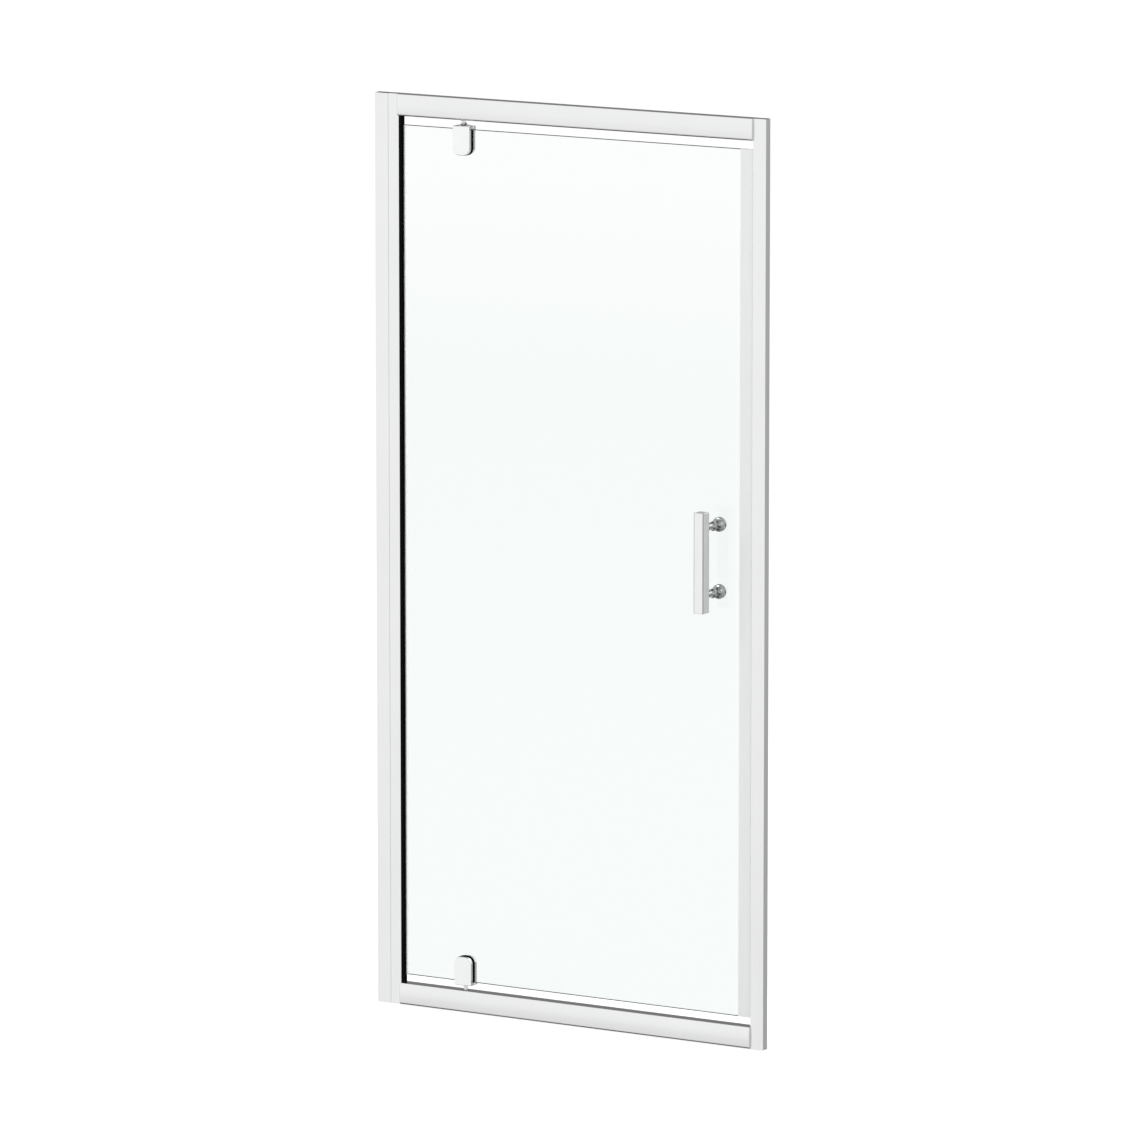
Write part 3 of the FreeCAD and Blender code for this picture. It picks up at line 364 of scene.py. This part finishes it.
def ring(kind, size):
    """Points round a circle, a hexagon of this half width across its flats, or a cross."""
    if kind == "cross":
        return cross_ring(size)
    step = 2 * math.pi / RING_POINTS
    points = []
    for i in range(RING_POINTS):
        angle = i * step
        radius = size
        if kind == "hex":
            radius = size / math.cos((angle + math.pi / 6) % (math.pi / 3) - math.pi / 6)
        points.append((radius * math.cos(angle), radius * math.sin(angle)))
    return points


def add_screw(mesh, rings, centre):
    """One screw that points into the face behind it, with its drive recess in its head."""
    x, y, z = centre
    loops = []
    for kind, size, depth in rings:
        back = y - depth / MILLIMETRES_PER_METRE
        loops.append([
            mesh.verts.new((x + across / MILLIMETRES_PER_METRE, back, z + up / MILLIMETRES_PER_METRE))
            for across, up in ring(kind, size)
        ])
    mesh.faces.new(loops[0])
    mesh.faces.new(loops[-1])
    for inner, outer in zip(loops, loops[1:]):
        for i in range(RING_POINTS):
            j = (i + 1) % RING_POINTS
            mesh.faces.new((inner[i], inner[j], outer[j], outer[i]))


def screw_centres(name, radius):
    """Where a node's screw heads are: in the corners of its box, or in its two ends if it is narrow."""
    low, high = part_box(name)
    places = [sorted({round(low[axis] + radius, 5), round(high[axis] - radius, 5)}) for axis in (0, 2)]
    return [(x, high[1], z) for x in places[0] for z in places[1]]


def make_screws(name, body, rings, material):
    """Screws with drive recesses, in place of a node's plain ones."""
    mesh = bmesh.new()
    head = max(size for kind, size, depth in rings) + HEAD_CLEARANCE
    for centre in screw_centres(name, head / MILLIMETRES_PER_METRE):
        add_screw(mesh, rings, centre)
    bmesh.ops.recalc_face_normals(mesh, faces=mesh.faces)
    for face in mesh.faces:
        face.smooth = True
    for edge in mesh.edges:
        edge.smooth = edge.calc_face_angle(0) < SHARP_BEND
    data = bpy.data.meshes.new(f"{name}_detailed")
    mesh.to_mesh(data)
    mesh.free()
    data.materials.append(material)
    screws = bpy.data.objects.new(f"{name}_detailed", data)
    bpy.context.scene.collection.objects.link(screws)
    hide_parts(name)
    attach(screws, body)


# ---------------------------------------------------------------- the door's pieces

def paint(material, *names):
    """Give CAD nodes a finish in place of the one that they were packed with."""
    for name in names:
        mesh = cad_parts[name].data
        mesh.materials.clear()
        mesh.materials.append(material)


def finish_aluminium():
    """Posts and channels with upright die lines, and rails with level ones."""
    paint(extruded_aluminium("aluminium_upright", stretch=(1, 1, 0.01)), "wall_channel_hinge_side",
          "wall_channel_strike_side", "hinge_post", "strike_post")
    paint(extruded_aluminium("aluminium_rail", stretch=(0.01, 1, 1)), "top_rail", "bottom_rail")


def finish_chrome():
    """Plated pieces: the clamps and screw caps are brightest, and the end caps, pins, knobs and stems are
    plated darker as painted shade.
    """
    plated = ["screw_caps_hinge_side", "screw_caps_strike_side"]
    for side in ("top", "bottom"):
        plated += [f"{side}_clamp_front_plate", f"{side}_clamp_back_plate"]
    paint(chrome("polished_chrome", shade=0.92, roughness=0.05), *plated)
    # The end caps' darker plate is painted shade for their ends beside the posts.
    paint(chrome("end_cap_metal_painted_shade", shade=0.60, roughness=0.15), "top_rail_end_caps", "bottom_rail_end_caps")
    # The pins' darker plate is painted shade for their shaded sides.
    paint(chrome("pin_chrome_painted_shade", shade=0.72, roughness=0.12), "top_pivot_pin", "bottom_pivot_pin")
    # The knobs and stems are plated dark as painted shade for the dark reflections they show.
    paint(chrome("chrome_painted_dark_shade", shade=0.42, roughness=0.03), "handle_stems", "handle_knobs")
    paint(satin_chrome_corner_shade(), "handle_bar")


def finish_steel():
    """Screws, studs and the thrust disc, with drive recesses in the screws of the clamps and blocks."""
    stainless = steel()
    paint(stainless, "channel_screws_hinge_side", "channel_screws_strike_side", "rail_screws_hinge_side",
          "rail_screws_strike_side", "pivot_block_screws", "top_clamp_screws", "bottom_clamp_screws",
          "handle_studs", "bottom_thrust_disc")
    make_screws("top_clamp_screws", "door", CLAMP_SCREW, stainless)
    make_screws("bottom_clamp_screws", "door", CLAMP_SCREW, stainless)
    make_screws("pivot_block_screws", "frame", BLOCK_SCREW, stainless)


def finish_glass():
    """The leaf's glass, which throws no shadow, because that of clear glass renders far too dark."""
    paint(safety_glass(), "glass_panel")
    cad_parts["glass_panel"].visible_shadow = False


def finish_seals_and_plastics():
    """Vinyl and rubber seals, magnets, post caps, bushes and pivot blocks."""
    paint(vinyl("clear_vinyl", (0.97, 0.98, 0.98), roughness=0.05, Alpha=0.12), "hinge_edge_seal")
    paint(vinyl("milky_vinyl", (0.97, 0.985, 0.98), roughness=0.35, Transmission_Weight=0.10),
          "closing_edge_seal")
    paint(rubber(), "hinge_post_gasket", "hinge_edge_fin", "handle_washers", "top_clamp_gaskets",
          "bottom_clamp_gaskets")
    paint(moulded_plastic("white_magnet", (0.86, 0.87, 0.87)), "strike_magnet_strip", "closing_magnet")
    paint(moulded_plastic("dark_plastic", (0.19, 0.19, 0.195)), "hinge_post_top_cap", "strike_post_top_cap",
          "top_pivot_bush", "bottom_pivot_bush")
    paint(moulded_plastic("white_plastic", (0.88, 0.88, 0.86)), "top_pivot_block", "bottom_pivot_block")


# ---------------------------------------------------------------- studio

def reflected_through_glass(tree, path):
    """Above 0 for a ray that goes through the glass after metal has reflected it, and 0 for others."""
    return multiply(tree, path.outputs["Is Transmission Ray"], path.outputs["Glossy Depth"])


def sky_level(tree, ray):
    """The level that metal reflects at a ray's height."""
    levels = tree.nodes.new("ShaderNodeFloatCurve")
    curve = levels.mapping.curves[0]
    for sine, level in SKY_LEVELS[1:-1]:
        curve.points.new((sine + 1) / 2, level)
    curve.points[0].location = (0, SKY_LEVELS[0][1])
    curve.points[-1].location = (1, SKY_LEVELS[-1][1])
    for point in curve.points:
        point.handle_type = "VECTOR"
    levels.mapping.update()
    height = remap(tree, separate(tree, ray)["Z"], (-1, 1), (0, 1), smooth=False)
    tree.links.new(height, levels.inputs["Value"])
    return levels.outputs["Value"]


def screen_level(tree, ray, direction, starts, full, level):
    """The level of a dark screen that stands in one direction, and 1 away from it."""
    dot = tree.nodes.new("ShaderNodeVectorMath")
    dot.operation = "DOT_PRODUCT"
    tree.links.new(ray, dot.inputs[0])
    dot.inputs[1].default_value = Vector(direction).normalized()
    return remap(tree, dot.outputs["Value"], (starts, full), (1, level))


def make_world():
    """White for the camera, even light for matt surfaces, and a studio with dark screens for metal."""
    world = bpy.data.worlds.new("studio")
    world.use_nodes = True
    tree = world.node_tree
    even = tree.nodes["Background"]
    even.inputs["Strength"].default_value = AMBIENT
    white = tree.nodes.new("ShaderNodeBackground")
    white.inputs["Strength"].default_value = WHITE
    studio = tree.nodes.new("ShaderNodeBackground")
    for background in (even, white, studio):
        background.inputs["Color"].default_value = (1, 1, 1, 1)

    ray = tree.nodes.new("ShaderNodeTexCoord").outputs["Generated"]
    level = sky_level(tree, ray)
    for screen in SCREENS.values():
        level = multiply(tree, level, screen_level(tree, ray, *screen))
    tree.links.new(level, studio.inputs["Strength"])

    path = tree.nodes.new("ShaderNodeLightPath")
    shown = even.outputs["Background"]
    for choice, seen in (
        (path.outputs["Is Camera Ray"], white),
        (path.outputs["Is Glossy Ray"], studio),
        (path.outputs["Is Transmission Ray"], white),
        (reflected_through_glass(tree, path), studio),
    ):
        shown = pick(tree, choice, shown, seen.outputs["Background"])
    tree.links.new(shown, tree.nodes["World Output"].inputs["Surface"])
    bpy.context.scene.world = world


def glowing(tree, surface, strength):
    """A surface that also gives off white light."""
    glow = tree.nodes.new("ShaderNodeEmission")
    glow.inputs["Strength"].default_value = strength
    both = tree.nodes.new("ShaderNodeAddShader")
    tree.links.new(surface, both.inputs[0])
    tree.links.new(glow.outputs["Emission"], both.inputs[1])
    return both.outputs["Shader"]


def floor_material():
    """Pale floor that glows up to white and keeps the shadow, with hardly any of it behind the glass."""
    material, tree, shader = new_material("floor", Roughness=0.9, Specular_IOR_Level=0.1)
    shader.inputs["Base Color"].default_value = FLOOR_COLOR
    dim = tree.nodes.new("ShaderNodeBsdfDiffuse")
    dim.inputs["Color"].default_value = FLOOR_COLOR_BEHIND_GLASS
    clear = tree.nodes.new("ShaderNodeBsdfTransparent")
    path = tree.nodes.new("ShaderNodeLightPath")
    shown = shader.outputs["BSDF"]
    for choice, seen in (
        (path.outputs["Is Camera Ray"], glowing(tree, shader.outputs["BSDF"], FLOOR_GLOW)),
        (path.outputs["Is Transmission Ray"], glowing(tree, dim.outputs["BSDF"], GLOW_BEHIND_GLASS)),
        (reflected_through_glass(tree, path), clear.outputs["BSDF"]),
    ):
        shown = pick(tree, choice, shown, seen)
    tree.links.new(shown, tree.nodes["Material Output"].inputs["Surface"])
    return material


def make_floor():
    """A square of floor that metal doesn't see, because it reflects the studio instead."""
    half = FLOOR_SIZE / 2
    corners = [(-half, -half, 0), (half, -half, 0), (half, half, 0), (-half, half, 0)]
    mesh = bpy.data.meshes.new("floor")
    mesh.from_pydata(corners, [], [(0, 1, 2, 3)])
    mesh.materials.append(floor_material())
    floor = bpy.data.objects.new("floor", mesh)
    floor.location = (0, 0, -FLOOR_DROP)
    floor.visible_glossy = False
    bpy.context.scene.collection.objects.link(floor)


def make_lamp(name, location, power):
    """A square lamp that faces the door, and that neither the camera nor metal sees."""
    data = bpy.data.lights.new(name, "AREA")
    data.shape = "SQUARE"
    data.size = LAMP_SIZE
    data.energy = power
    lamp = bpy.data.objects.new(name, data)
    lamp.location = location
    lamp.rotation_mode = "QUATERNION"
    lamp.rotation_quaternion = (CAMERA_TARGET - Vector(location)).to_track_quat("-Z", "Y")
    lamp.visible_camera = False
    lamp.visible_glossy = False
    bpy.context.scene.collection.objects.link(lamp)


def make_camera():
    """The photograph's viewing angle, from far away through a long lens."""
    data = bpy.data.cameras.new("camera")
    data.sensor_width = SENSOR_WIDTH
    data.lens = CAMERA_LENS
    data.clip_end = CAMERA_REACH
    back = Vector((
        math.sin(CAMERA_AZIMUTH) * math.cos(CAMERA_ELEVATION),
        -math.cos(CAMERA_AZIMUTH) * math.cos(CAMERA_ELEVATION),
        math.sin(CAMERA_ELEVATION),
    ))
    camera = bpy.data.objects.new("camera", data)
    camera.location = CAMERA_TARGET + back * CAMERA_DISTANCE
    camera.rotation_mode = "QUATERNION"
    camera.rotation_quaternion = (-back).to_track_quat("-Z", "Y")
    bpy.context.scene.collection.objects.link(camera)
    bpy.context.scene.camera = camera


finish_aluminium()
finish_chrome()
finish_steel()
finish_glass()
finish_seals_and_plastics()
make_world()
make_floor()
for lamp, (place, power) in LAMPS.items():
    make_lamp(lamp, place, power)
make_camera()
bpy.context.scene.view_settings.view_transform = "Standard"
